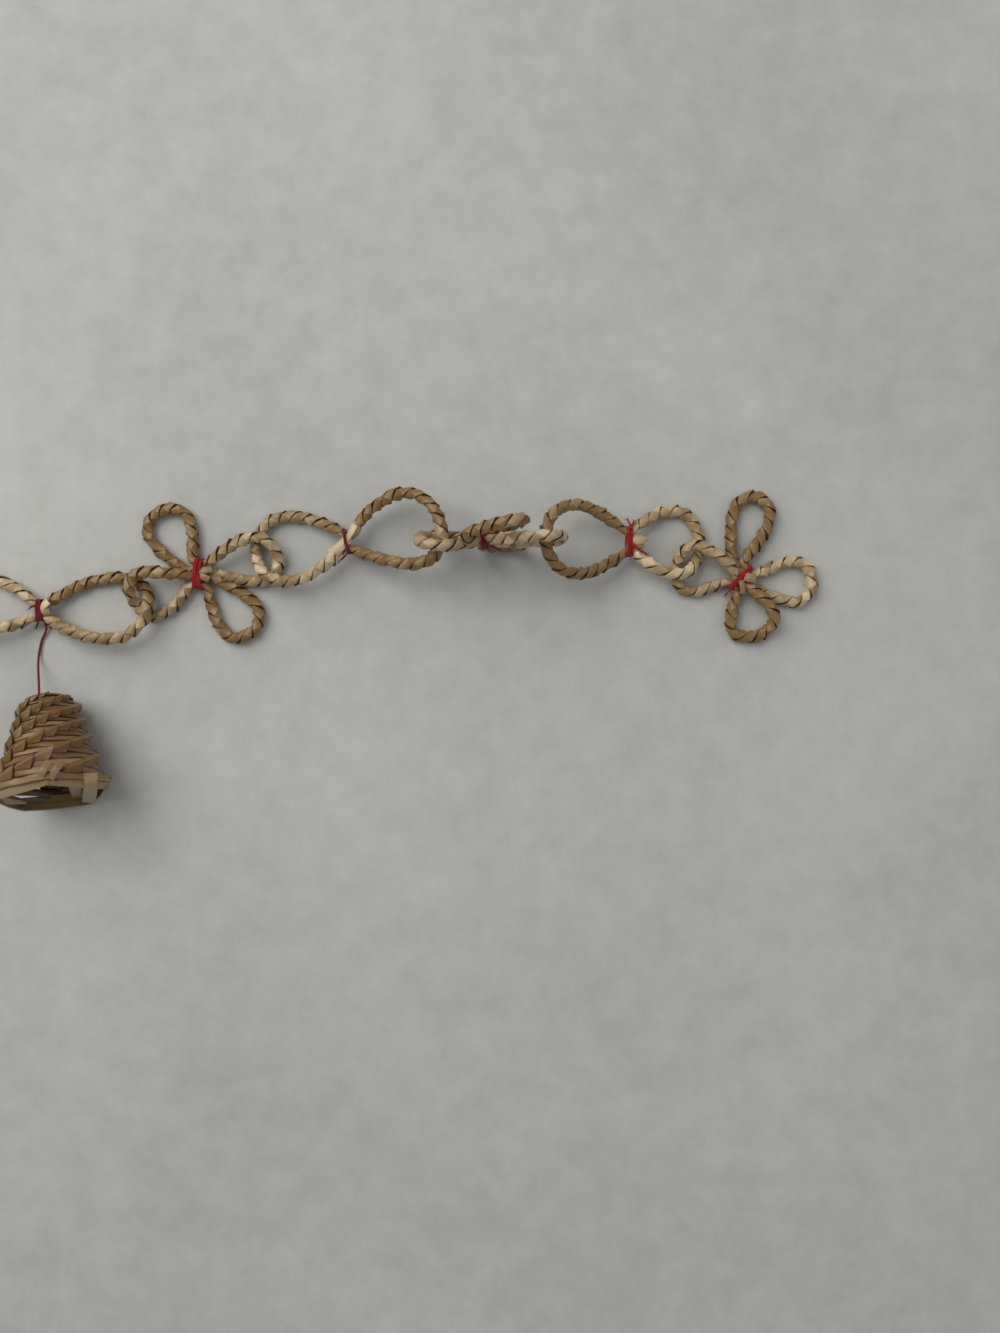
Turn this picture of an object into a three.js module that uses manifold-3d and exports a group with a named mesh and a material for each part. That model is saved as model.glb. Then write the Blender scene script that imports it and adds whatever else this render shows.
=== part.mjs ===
// A straw garland: seven links of twisted straw rope, each bound at its waist with red thread, and a
// plaited straw bell on a thread. It lies on a flat surface, with +Z up and +X along the chain.
// A figure of eight with two petals and a cross with four alternate. Every petal is a loop of rope that
// leaves the link's waist, goes round and comes back, and neighbouring links are linked by their petals.
// The export is a THREE.Group of named meshes, in millimetres.
import * as THREE from "three";
import { mergeVertices } from "three/addons/utils/BufferGeometryUtils.js";
import Module from "manifold-3d";

const wasm = await Module();
wasm.setup();

// ---- Driving dimensions, in millimetres and degrees ----
const ROPE_RADIUS = 1.7; // a two-ply rope of flattened straw
const ROPE_SIDES = 6;
const PETAL_STEPS = 16;
const SQUEEZE = 1.5; // from the outermost strand's middle to the edge of a bound waist
const LANE_OFFSET = 2.1; // from the middle of a cross's waist to the middle of each of its rings
const LANE_STRAND = 1.05; // and from there to the ring's two strands
const STRAND_START = 0.3; // where a strand begins, inside the waist
const WAIST_REACH = 2.6; // how far the waist's core runs to each side
const BEND_START = 1.6; // how far a petal runs straight on from the middle of the waist
const BEND_LENGTH = 4; // and over how much of its length it then turns to its own heading
const RISE_SPAN = 0.08; // half the share of a petal over which it changes height at its crossing place
const GAP = 0.3; // between pieces that touch

const BINDING_WIDTH = 2.8; // a few turns of thread side by side
const BINDING_DEPTH = 0.75;

const BELL = {
  crown: [-132.3, -9, 6.2], // the middle of the crown, on the outside
  heading: -80,
  lean: 18, // the mouth looks up by this much, because the bell lies on its side
  height: 29,
  crownRadius: 7.8,
  mouthRadius: 17,
  wall: 1.4,
  corners: 5,
  straightness: 0.85, // of its five sides: 1 makes them flat and 0 makes the bell round
  roundTurn: 20, // how far the corners wind in each round of the plait
  mouthCorner: 74, // where a corner meets the mouth, up from the right as the bell lies
  hole: [-2.2, 2], // where the thread goes in, to the left of the crown's middle and above it
  holeRadius: 0.7,
};

const BELL_THREAD = {
  radius: 0.35,
  sides: 8,
  steps: 20,
  inside: 9, // how far it runs on inside the bell, from the crown
};

// The links and the bell are placed from one point on the surface, which this puts in the part's frame.
const ORIGIN = [55, -5.3, 0];

// A link's waist, which way its bundle of strands runs and how far it is rolled about that line, half
// the bundle's width, then its petals. end 1 leaves the waist along the heading and end -1 leaves it
// backwards. A cross is two rings bound side by side, and lane says which ring the petal is in.
// A petal's heading, pitch and length lead from the waist to its tip. neck is 2 for a petal that
// spreads at once, and 3 for one with a narrow neck. bow moves its middle to the left. heights are how
// high the rope's middle is along the left and the right side of a petal that lies down, and change is
// the share of the way round where one gives way to the other. A petal that stands has a pitch and a
// roll instead.
const LINKS = [
  {
    name: "left_end_cross",
    waist: [-181.5, 17.5, 2.5],
    heading: 45,
    halfWidth: 4.1,
    petals: [
      { end: 1, lane: -1, heading: 8, length: 20, width: 13, neck: 3, heights: [5.4, 1.7], change: 0.52 },
      {
        end: -1, lane: 1, heading: 187, length: 21.5, width: 11.6, neck: 3,
        heights: [1.7, 1.7], change: 0.5,
      },
      {
        end: 1, lane: 1, heading: 98, length: 22.5, width: 11.8, neck: 3,
        heights: [1.7, 1.7], change: 0.5,
      },
      {
        end: -1, lane: -1, heading: 256, length: 18.5, width: 12.4, neck: 3,
        heights: [1.7, 4], change: 0.6,
      },
    ],
  },
  {
    name: "bell_link",
    waist: [-136.5, 16.8, 2.7],
    heading: 0,
    halfWidth: 2.7,
    petals: [
      {
        end: 1, heading: 3, length: 32.6, width: 18, neck: 2,
        bow: -0.6, heights: [1.7, 5.4], change: 0.47,
      },
      { end: -1, heading: 173, length: 30.5, width: 16.4, neck: 2, heights: [5.4, 1.7], change: 0.49 },
    ],
  },
  {
    name: "left_cross",
    waist: [-89.6, 27.6, 2.5],
    heading: -6,
    halfWidth: 4.1,
    petals: [
      {
        end: -1, lane: -1, heading: 201, length: 21, width: 13, neck: 3,
        bow: 0.8, heights: [1.7, 5.4], change: 0.51,
      },
      { end: 1, lane: 1, heading: 13, length: 24, width: 12.6, neck: 3, heights: [5.4, 1.7], change: 0.47 },
      { end: -1, lane: 1, heading: 122, length: 22, width: 13, neck: 3, heights: [1.7, 1.7], change: 0.5 },
      {
        end: 1, lane: -1, heading: -49, length: 23.2, width: 12.4, neck: 3,
        heights: [1.7, 1.7], change: 0.5,
      },
    ],
  },
  {
    name: "left_link",
    waist: [-45.4, 36.9, 4.6],
    heading: 0,
    halfWidth: 3.2,
    petals: [
      { end: -1, heading: 187, length: 27.4, width: 19.4, neck: 2, heights: [5.4, 1.7], change: 0.47 },
      { end: 1, heading: 3, length: 30, width: 20.4, neck: 2, bow: 2.6, pitch: 16, roll: 0 },
    ],
  },
  {
    name: "middle_cross",
    waist: [-4.5, 35.9, 14.6],
    heading: 0,
    roll: -90,
    halfWidth: 4.1,
    petals: [
      { end: -1, lane: 1, heading: 179, length: 18.4, width: 13.4, neck: 3, pitch: 0, roll: 72 },
      { end: 1, lane: -1, heading: 2, length: 22, width: 13, neck: 3, pitch: 0, roll: -90 },
      { end: -1, lane: -1, heading: 24, length: 15, width: 8.8, neck: 3, pitch: 38, roll: 82, bend: 5 },
      { end: 1, lane: 1, heading: 0, length: 14, width: 11.5, neck: 3, pitch: -66, roll: -90, bend: 4.5 },
    ],
  },
  {
    name: "right_link",
    waist: [38.2, 36.9, 4.6],
    heading: 0,
    halfWidth: 4,
    petals: [
      { end: -1, heading: 180, length: 27, width: 19.4, neck: 2, pitch: 21, roll: 0 },
      {
        end: 1, heading: -6, length: 21.2, width: 18.6, neck: 2,
        bow: 1.2, heights: [1.7, 5.4], change: 0.58,
      },
    ],
  },
  {
    name: "right_end_cross",
    waist: [71.6, 26.4, 2.5],
    heading: -45,
    halfWidth: 4.1,
    petals: [
      {
        end: -1, lane: -1, heading: 170, length: 19.4, width: 13.4, neck: 3,
        heights: [1.7, 5.4], change: 0.57,
      },
      { end: 1, lane: 1, heading: -3, length: 21.5, width: 12, neck: 3, heights: [1.7, 1.7], change: 0.5 },
      {
        end: -1, lane: 1, heading: 77.5, length: 24.6, width: 10.8, neck: 3,
        heights: [1.7, 1.7], change: 0.5,
      },
      { end: 1, lane: -1, heading: -75, length: 18, width: 12.6, neck: 3, heights: [4, 1.7], change: 0.4 },
    ],
  },
];

// The cut ends of a link's rope, left standing flat beside its binding: where each starts from the
// middle of the waist, its heading and rise, and its length, width and thickness.
const STUBS = {
  bell_link: [{ from: [1.6, 0.6, 1], heading: 30, rise: 12, size: [4, 3, 1] }],
  left_link: [{ from: [0.4, 1, 1.2], heading: 52, rise: 16, size: [5.6, 3.4, 1] }],
  right_link: [{ from: [1.8, -0.4, 1], heading: -10, rise: 10, size: [4.4, 3, 0.9] }],
  right_end_cross: [{ from: [1.4, -0.6, 1.4], heading: -20, rise: 5, size: [3.4, 2.6, 1] }],
};

// ---- Vectors and solids ----
const rad = THREE.MathUtils.degToRad;
const vec = (x, y, z) => new THREE.Vector3(x, y, z);
const UP = vec(0, 0, 1);

// A closed geometry as a manifold-3d solid, and a solid back as a geometry.
function solidOf(geometry, matrix = new THREE.Matrix4()) {
  const placed = new THREE.BufferGeometry().setAttribute(
    "position",
    (geometry.index ? geometry.toNonIndexed() : geometry).getAttribute("position").clone(),
  );
  const merged = mergeVertices(placed.applyMatrix4(matrix), 1e-4);
  return new wasm.Manifold(
    new wasm.Mesh({
      numProp: 3,
      vertProperties: merged.attributes.position.array,
      triVerts: new Uint32Array(merged.index.array),
    }),
  );
}

function geometryOf(solid) {
  const mesh = solid.getMesh();
  const positions = new Float32Array(mesh.numVert * 3);
  for (let i = 0; i < mesh.numVert; i++) {
    const start = i * mesh.numProp;
    positions.set(mesh.vertProperties.subarray(start, start + 3), i * 3);
  }
  return new THREE.BufferGeometry()
    .setAttribute("position", new THREE.BufferAttribute(positions, 3))
    .setIndex(new THREE.BufferAttribute(mesh.triVerts, 1))
    .toNonIndexed();
}

const joined = (solids) => solids.reduce((a, b) => a.add(b));

function ngon(radius, sides) {
  const points = Array.from({ length: sides }, (_, i) => (i / sides) * 2 * Math.PI).map(
    (a) => new THREE.Vector2(radius * Math.cos(a), radius * Math.sin(a)),
  );
  return new THREE.Shape(points);
}

function tube(path, radius, sides, steps) {
  return solidOf(new THREE.ExtrudeGeometry(ngon(radius, sides), { extrudePath: path, steps }));
}

// ---- The links ----

// A waist's own axes: forward along its strands, across them, and out of its ring's plane.
function bundleAxes(link) {
  const heading = rad(link.heading);
  const roll = rad(link.roll ?? 0);
  const forward = vec(Math.cos(heading), Math.sin(heading), 0);
  const level = UP.clone().cross(forward);
  const across = level.clone().multiplyScalar(Math.cos(roll)).addScaledVector(UP, Math.sin(roll));
  return { forward, across, out: forward.clone().cross(across) };
}

// The largest value of cos(u) * sin(u) ** neck, which sets how wide a petal is.
const swellPeak = (neck) => neck ** (neck / 2) / (1 + neck) ** ((neck + 1) / 2);

// A line that runs straight on from a start, turns evenly, and runs straight again to an end.
class Spine {
  constructor(start, from, end, bend) {
    this.start = start;
    this.from = from;
    this.bend = bend;
    this.turnTowards(end.clone().sub(start));
    for (let i = 0; i < 30; i++) {
      this.turnTowards(end.clone().sub(this.at(BEND_START + bend).point));
    }
    this.length = BEND_START + bend + this.at(BEND_START + bend).point.distanceTo(end);
  }

  turnTowards(target) {
    const to = target.clone().normalize();
    this.angle = Math.max(0.01, this.from.angleTo(to));
    this.radius = this.bend / this.angle;
    this.inward = to.addScaledVector(this.from, -to.dot(this.from)).normalize();
  }

  // The direction after a turn through an angle.
  direction(angle) {
    return this.from
      .clone()
      .multiplyScalar(Math.cos(angle))
      .addScaledVector(this.inward, Math.sin(angle));
  }

  // The place and the share of the turn made, at a distance from the start.
  at(distance) {
    const share = THREE.MathUtils.clamp((distance - BEND_START) / this.bend, 0, 1);
    const angle = share * this.angle;
    const straight = Math.min(distance, BEND_START);
    const after = Math.max(0, distance - BEND_START - this.bend);
    const point = this.start
      .clone()
      .addScaledVector(this.from, straight + this.radius * Math.sin(angle))
      .addScaledVector(this.inward, this.radius * (1 - Math.cos(angle)))
      .addScaledVector(this.direction(angle), after);
    return { point, share, direction: this.direction(angle) };
  }
}

// The line down the middle of a petal's rope: a teardrop, drawn to the two sides of a spine that starts
// along the waist's bundle and turns to the petal's heading.
class PetalLine extends THREE.Curve {
  constructor(link, petal) {
    super();
    const { forward, across } = bundleAxes(link);
    const heading = rad(petal.heading);
    const pitch = rad(petal.pitch ?? 0);
    const roll = rad(petal.roll ?? 0);
    const level = vec(-Math.sin(heading), Math.cos(heading), 0);
    const along = vec(Math.cos(heading), Math.sin(heading), 0)
      .multiplyScalar(Math.cos(pitch))
      .addScaledVector(UP, Math.sin(pitch));
    const normal = along.clone().cross(level);
    const waist = vec(...link.waist);
    const start = waist.clone().addScaledVector(across, (petal.lane ?? 0) * LANE_OFFSET);
    const tip = waist.addScaledVector(along, petal.length);
    this.petal = petal;
    this.strand = petal.lane ? LANE_STRAND : link.halfWidth - SQUEEZE;
    this.swell = (petal.width - this.strand) / 2 / swellPeak(petal.neck);
    this.spine = new Spine(start, forward.multiplyScalar(petal.end), tip, petal.bend ?? BEND_LENGTH);
    this.bundleSide = across.multiplyScalar(petal.end);
    this.side = level.multiplyScalar(Math.cos(roll)).addScaledVector(normal, Math.sin(roll));
  }

  getPoint(t, target = new THREE.Vector3()) {
    const u = Math.PI * t;
    const { neck, bow = 0 } = this.petal;
    const reach = Math.sin(u) ** 2;
    const along = STRAND_START + (this.spine.length - STRAND_START) * reach;
    const offset =
      Math.cos(u) * (this.strand + this.swell * Math.sin(u) ** neck) + 4 * bow * reach * (1 - reach);
    const { point, share, direction } = this.spine.at(along);
    const side = this.bundleSide
      .clone()
      .lerp(this.side, THREE.MathUtils.smoothstep(share, 0, 1));
    side.addScaledVector(direction, -side.dot(direction)).normalize();
    point.addScaledVector(side, offset);
    if (this.petal.heights) {
      point.z = this.heightAt(t, point.z);
    }
    return target.copy(point);
  }

  // A lying petal's height, eased out of its waist's own.
  heightAt(t, waistHeight) {
    const { heights, change } = this.petal;
    const { lerp, smoothstep } = THREE.MathUtils;
    const lying = lerp(...heights, smoothstep(t, change - RISE_SPAN, change + RISE_SPAN));
    return lerp(waistHeight, lying, smoothstep(Math.min(t, 1 - t), 0.05, 0.25));
  }
}

// A rectangle with rounded corners, from its half width and half height.
function roundedRectangle(w, h, r, kind = THREE.Shape) {
  const shape = new kind();
  shape.moveTo(w, r - h);
  shape.lineTo(w, h - r);
  shape.absarc(w - r, h - r, r, 0, Math.PI / 2, false);
  shape.absarc(r - w, h - r, r, Math.PI / 2, Math.PI, false);
  shape.absarc(r - w, r - h, r, Math.PI, 1.5 * Math.PI, false);
  shape.absarc(w - r, r - h, r, 1.5 * Math.PI, 2 * Math.PI, false);
  return shape;
}

// Half the size of a link's bundle, as bound: across its strands and out of their plane.
const waistSize = (link) => ({ across: link.halfWidth, out: ROPE_RADIUS, corner: 1.4 });

// A prism along a waist's strands, from its outline.
function waistPrism(link, shape, halfLength) {
  const { forward, across, out } = bundleAxes(link);
  const geometry = new THREE.ExtrudeGeometry(shape, {
    depth: 2 * halfLength,
    bevelEnabled: false,
    curveSegments: 1,
  });
  geometry.translate(0, 0, -halfLength);
  const matrix = new THREE.Matrix4().makeBasis(across, out, forward).setPosition(...link.waist);
  return solidOf(geometry, matrix);
}

// The ring of thread round a waist, made larger by extra on all its sides.
function bindingRing(link, extra = 0) {
  const { across, out, corner } = waistSize(link);
  const grown = BINDING_DEPTH + extra;
  const shape = roundedRectangle(across + grown, out + grown, corner + grown);
  shape.holes.push(roundedRectangle(across - extra, out - extra, corner - extra, THREE.Path));
  return waistPrism(link, shape, BINDING_WIDTH / 2 + extra);
}

// A cut end: a flat strip of straw that leaves the waist and stands clear of the binding.
function stub({ from, heading, rise, size }, waist) {
  const strip = new THREE.BoxGeometry(...size).translate(size[0] / 2, 0, 0);
  const matrix = new THREE.Matrix4()
    .makeRotationFromEuler(new THREE.Euler(0, -rad(rise), rad(heading), "ZYX"))
    .setPosition(vec(...waist).add(vec(...from)));
  return solidOf(strip, matrix);
}

function link(spec) {
  const { across, out, corner } = waistSize(spec);
  const core = waistPrism(spec, roundedRectangle(across + 0.1, out + 0.1, corner), WAIST_REACH);
  const petals = spec.petals.map((petal) =>
    tube(new PetalLine(spec, petal), ROPE_RADIUS, ROPE_SIDES, PETAL_STEPS),
  );
  const stubs = (STUBS[spec.name] ?? []).map((end) => stub(end, spec.waist));
  return joined([core, ...petals, ...stubs]).subtract(bindingRing(spec, GAP));
}

const binding = (spec) => bindingRing(spec);

// ---- The bell ----

// From the bell's own frame, with the crown's middle at the origin and the mouth towards +Z, to its
// place. Its own +Y ends up highest.
function bellMatrix() {
  const heading = rad(BELL.heading);
  const lean = rad(BELL.lean);
  const along = vec(
    Math.cos(lean) * Math.cos(heading),
    Math.cos(lean) * Math.sin(heading),
    Math.sin(lean),
  );
  const right = vec(-Math.sin(heading), Math.cos(heading), 0);
  const high = along.clone().cross(right);
  return new THREE.Matrix4().makeBasis(right, high, along).setPosition(...BELL.crown);
}

// The bell's outer radius at a share of the way from crown to mouth: a domed crown, then straight
// sides that open out a little more near the mouth.
function bellRadius(share) {
  const { crownRadius, mouthRadius } = BELL;
  const dome = Math.sqrt(1 - (1 - Math.min(1, share / 0.16)) ** 2);
  return THREE.MathUtils.lerp(crownRadius, mouthRadius, share ** 1.25) * dome;
}

// How far down the wall one round of the plait is from the next, at a distance from the crown's middle.
const roundPitch = (distance) => Math.max(1.3, 0.06 * (distance + 7));

// The bell's outline, with a point at the crown's middle and one at each round down to the mouth.
function bellRounds() {
  const wall = Array.from({ length: 61 }, (_, i) => {
    const share = (i / 60) ** 2;
    return new THREE.Vector2(bellRadius(share), share * BELL.height);
  });
  const outline = new THREE.SplineCurve(wall);
  const length = outline.getLength();
  const rounds = [];
  for (let distance = length; distance > 0.8; distance -= roundPitch(distance)) {
    rounds.unshift(outline.getPointAt(distance / length));
  }
  return [new THREE.Vector2(0, 0), ...rounds];
}

// The outline moved inwards, except at the mouth, where it stays open to its full depth.
function insetRounds(inset) {
  const rounds = bellRounds();
  const move = (point, i) => {
    const radius = i > 0 ? Math.max(0, point.x - inset) : 0;
    return new THREE.Vector2(radius, point.y + (i < rounds.length - 1 ? inset : 0));
  };
  return rounds.map(move);
}

// How far out the bell's surface is at an angle from a corner, as a share of the corner's radius.
function sideShare(angle) {
  const half = Math.PI / BELL.corners;
  const fromMiddle = THREE.MathUtils.euclideanModulo(angle, 2 * half) - half;
  return (Math.cos(half) / Math.cos(fromMiddle)) ** BELL.straightness;
}

// The bell's form without its hollow: the outline turned about the bell's axis, its five sides drawn in
// between the corners, and each round wound on from the one before.
function bellForm(inset) {
  const profile = insetRounds(inset);
  const rounds = profile.length - 1;
  const geometry = new THREE.LatheGeometry(
    [...profile, new THREE.Vector2(0, BELL.height)],
    4 * BELL.corners,
    Math.PI / 2,
  );
  geometry.rotateX(Math.PI / 2);
  const position = geometry.getAttribute("position");
  for (let i = 0; i < position.count; i++) {
    const round = Math.min(rounds, i % (profile.length + 1));
    const wind = rad(BELL.mouthCorner + BELL.roundTurn * (round - rounds));
    const angle = Math.atan2(position.getY(i), position.getX(i));
    const radius = Math.hypot(position.getX(i), position.getY(i)) * sideShare(angle);
    position.setX(i, radius * Math.cos(angle + wind));
    position.setY(i, radius * Math.sin(angle + wind));
  }
  return geometry;
}

function bell() {
  const matrix = bellMatrix();
  const hole = new THREE.CylinderGeometry(BELL.holeRadius, BELL.holeRadius, 16, 12);
  hole.rotateX(Math.PI / 2).translate(...BELL.hole, 0);
  const hollow = bellForm(BELL.wall).translate(0, 0, 0.01);
  const below = new THREE.BoxGeometry(80, 80, 20).translate(BELL.crown[0], BELL.crown[1] - 20, -10);
  return solidOf(bellForm(0), matrix)
    .subtract(solidOf(hollow, matrix))
    .subtract(solidOf(hole, matrix))
    .subtract(solidOf(below));
}

// The red thread from under the bell's link, lying on the surface, up to the crown and into the bell.
function bellThread() {
  const link = LINKS.find((spec) => spec.name === "bell_link");
  const matrix = bellMatrix();
  const inBell = (z) => vec(...BELL.hole, z).applyMatrix4(matrix);
  const [x, y, z] = link.waist;
  const lying = BELL_THREAD.radius + 0.1;
  const start = vec(x + 0.8, y - link.halfWidth - BINDING_DEPTH - GAP, z - 1);
  const points = [
    start,
    start.clone().add(vec(0.1, -2, 0)).setZ(lying + 0.7),
    vec(x - 0.7, y - 9, lying + 0.1),
    vec(x - 1.5, y - 14.5, lying + 0.6),
    inBell(-4).add(vec(-0.4, 0, -0.9)),
    inBell(0),
    inBell(4),
    inBell(BELL_THREAD.inside),
  ];
  return tube(new THREE.CatmullRomCurve3(points), BELL_THREAD.radius, BELL_THREAD.sides, BELL_THREAD.steps);
}

// ---- The object ----
const STRAW = new THREE.MeshStandardMaterial({ color: "#b89b6c", roughness: 0.55, metalness: 0 });
const THREAD = new THREE.MeshStandardMaterial({ color: "#9c1f1c", roughness: 0.85, metalness: 0 });

const garland = new THREE.Group();
garland.position.set(...ORIGIN);

function place(name, solid, material) {
  const mesh = new THREE.Mesh(geometryOf(solid), material);
  mesh.name = name;
  garland.add(mesh);
}

place("bell", bell(), STRAW);
place("bell_thread", bellThread(), THREAD);
for (const spec of LINKS) {
  place(spec.name, link(spec), STRAW);
  place(spec.name + "_binding", binding(spec), THREAD);
}

export default garland;
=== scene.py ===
"""A straw garland with a plaited bell, lying on a pale sheet.

Shapes are worked out in millimetres, from the same sizes as the CAD, and each mesh is made in metres, in
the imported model's frame.
"""
import math
import bpy
import numpy as np
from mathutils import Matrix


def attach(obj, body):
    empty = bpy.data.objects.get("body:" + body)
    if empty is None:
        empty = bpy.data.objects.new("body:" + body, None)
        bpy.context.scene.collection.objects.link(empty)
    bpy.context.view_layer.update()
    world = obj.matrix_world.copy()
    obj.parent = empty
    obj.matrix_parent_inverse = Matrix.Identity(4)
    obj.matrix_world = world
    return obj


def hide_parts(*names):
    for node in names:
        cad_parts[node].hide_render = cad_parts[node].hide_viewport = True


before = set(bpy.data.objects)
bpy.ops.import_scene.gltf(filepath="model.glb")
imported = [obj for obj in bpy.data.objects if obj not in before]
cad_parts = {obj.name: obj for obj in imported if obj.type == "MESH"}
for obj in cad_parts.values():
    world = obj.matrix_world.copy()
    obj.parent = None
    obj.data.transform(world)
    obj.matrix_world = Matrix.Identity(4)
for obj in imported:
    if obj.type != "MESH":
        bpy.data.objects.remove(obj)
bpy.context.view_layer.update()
MM = 0.001
rng = np.random.default_rng(7)

# ---------------------------------------------------------------- sizes, as in the CAD
ROPE_RADIUS = 1.7
SQUEEZE = 1.5          # from the outermost strand's middle to the edge of a bound waist
LANE_OFFSET = 2.1      # from the middle of a cross's waist to the middle of each of its rings
LANE_STRAND = 1.05     # and from there to the ring's two strands
STRAND_START = 0.3     # where a strand begins, inside the waist
BEND_START = 1.6       # how far a petal runs straight on from the middle of the waist
BEND_LENGTH = 4.0      # and over how much of its length it then turns to its own heading
RISE_SPAN = 0.08       # half the share of a petal over which it changes height at its crossing place
BINDING_DEPTH = 0.75
GAP = 0.3              # between CAD pieces that touch
ORIGIN = np.array([55.0, -5.3, 0.0])  # the links and the bell are placed from here
UP = np.array([0.0, 0.0, 1.0])


def petal(end, heading, length, width, neck, lane=0, bow=0.0, pitch=0.0, roll=0.0, bend=BEND_LENGTH,
          heights=None, change=0.5, pale=()):
    """A petal's sizes, named as in the CAD. pale lists its pale stretches, paler straw with a painted
    highlight:
    from one share of the way round to another, and how pale."""
    return dict(end=end, heading=heading, length=length, width=width, neck=neck, lane=lane, bow=bow,
                pitch=pitch, roll=roll, bend=bend, heights=heights, change=change, pale=pale)


FLAT = (1.7, 1.7)
LINKS = {
    "left_end_cross": dict(
        waist=(-181.5, 17.5, 2.5), heading=45, roll=0, half=4.1, petals=[
            petal(1, 8, 20, 13, 3, lane=-1, heights=(5.4, 1.7), change=0.52),
            petal(-1, 187, 21.5, 11.6, 3, lane=1, heights=FLAT),
            petal(1, 98, 22.5, 11.8, 3, lane=1, heights=FLAT),
            petal(-1, 256, 18.5, 12.4, 3, lane=-1, heights=(1.7, 4), change=0.6)]),
    "bell_link": dict(
        waist=(-136.5, 16.8, 2.7), heading=0, roll=0, half=2.7, petals=[
            petal(1, 3, 32.6, 18, 2, bow=-0.6, heights=(1.7, 5.4), change=0.47, pale=((0.5, 1, 0.35),)),
            petal(-1, 173, 30.5, 16.4, 2, heights=(5.4, 1.7), change=0.49, pale=((0, 1, 0.5),))]),
    "left_cross": dict(
        waist=(-89.6, 27.6, 2.5), heading=-6, roll=0, half=4.1, petals=[
            petal(-1, 201, 21, 13, 3, lane=-1, bow=0.8, heights=(1.7, 5.4), change=0.51,
                  pale=((0, 0.6, 0.4),)),
            petal(1, 13, 24, 12.6, 3, lane=1, heights=(5.4, 1.7), change=0.47, pale=((0, 1, 0.4),)),
            petal(-1, 122, 22, 13, 3, lane=1, heights=FLAT),
            petal(1, -49, 23.2, 12.4, 3, lane=-1, heights=FLAT)]),
    "left_link": dict(
        waist=(-45.4, 36.9, 4.6), heading=0, roll=0, half=3.2, petals=[
            petal(-1, 187, 27.4, 19.4, 2, heights=(5.4, 1.7), change=0.47,
                  pale=((0, 0.13, 0.95), (0.13, 0.5, 0.6), (0.5, 1, 0.35))),
            petal(1, 3, 30, 20.4, 2, bow=2.6, pitch=16)]),
    "middle_cross": dict(
        waist=(-4.5, 35.9, 14.6), heading=0, roll=-90, half=4.1, petals=[
            petal(-1, 179, 18.4, 13.4, 3, lane=1, roll=72, pale=((0, 1, 0.4),)),
            petal(1, 2, 22, 13, 3, lane=-1, roll=-90, pale=((0, 1, 0.85),)),
            petal(-1, 24, 15, 8.8, 3, lane=-1, pitch=38, roll=82, bend=5),
            petal(1, 0, 14, 11.5, 3, lane=1, pitch=-66, roll=-90, bend=4.5)]),
    "right_link": dict(
        waist=(38.2, 36.9, 4.6), heading=0, roll=0, half=4.0, petals=[
            petal(-1, 180, 27, 19.4, 2, pitch=21),
            petal(1, -6, 21.2, 18.6, 2, bow=1.2, heights=(1.7, 5.4), change=0.58,
                  pale=((0, 0.3, 0.6), (0.3, 0.5, 0.3), (0.5, 1, 0.85)))]),
    "right_end_cross": dict(
        waist=(71.6, 26.4, 2.5), heading=-45, roll=0, half=4.1, petals=[
            petal(-1, 170, 19.4, 13.4, 3, lane=-1, heights=(1.7, 5.4), change=0.57, pale=((0, 1, 0.4),)),
            petal(1, -3, 21.5, 12, 3, lane=1, heights=FLAT,
                  pale=((0, 0.35, 0.5), (0.35, 0.75, 0.8), (0.75, 1, 0.3))),
            petal(-1, 77.5, 24.6, 10.8, 3, lane=1, heights=FLAT),
            petal(1, -75, 18, 12.6, 3, lane=-1, heights=(4, 1.7), change=0.4)]),
}
BELL = dict(crown=np.array([-132.3, -9.0, 6.2]), heading=-80.0, lean=18.0, height=29.0, crown_radius=7.8,
            mouth_radius=17.0, corners=5, straightness=0.85, round_turn=20.0, mouth_corner=74.0,
            hole=(-2.2, 2.0))
CORD_RADIUS = 0.35
CORD_INSIDE = 9.0      # how far the cord runs on inside the bell, from the crown


def unit(v):
    return v / np.maximum(np.linalg.norm(v, axis=-1, keepdims=True), 1e-9)


def smooth(x, a, b):
    """0 below a, 1 above b, and an even S between them."""
    t = np.clip((x - a) / (b - a), 0, 1)
    return t * t * (3 - 2 * t)


def turn(heading, pitch=0.0):
    """The direction at a heading and a pitch, in degrees."""
    h, p = math.radians(heading), math.radians(pitch)
    return np.array([math.cos(p) * math.cos(h), math.cos(p) * math.sin(h), math.sin(p)])


def waist_axes(spec):
    """A waist's directions: along its strands, across them, and out of the bundle's flat side."""
    forward = turn(spec["heading"])
    roll = math.radians(spec["roll"])
    across = np.cross(UP, forward) * math.cos(roll) + UP * math.sin(roll)
    return forward, across, np.cross(forward, across)


def waist_middle(spec):
    return np.array(spec["waist"]) + ORIGIN


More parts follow.
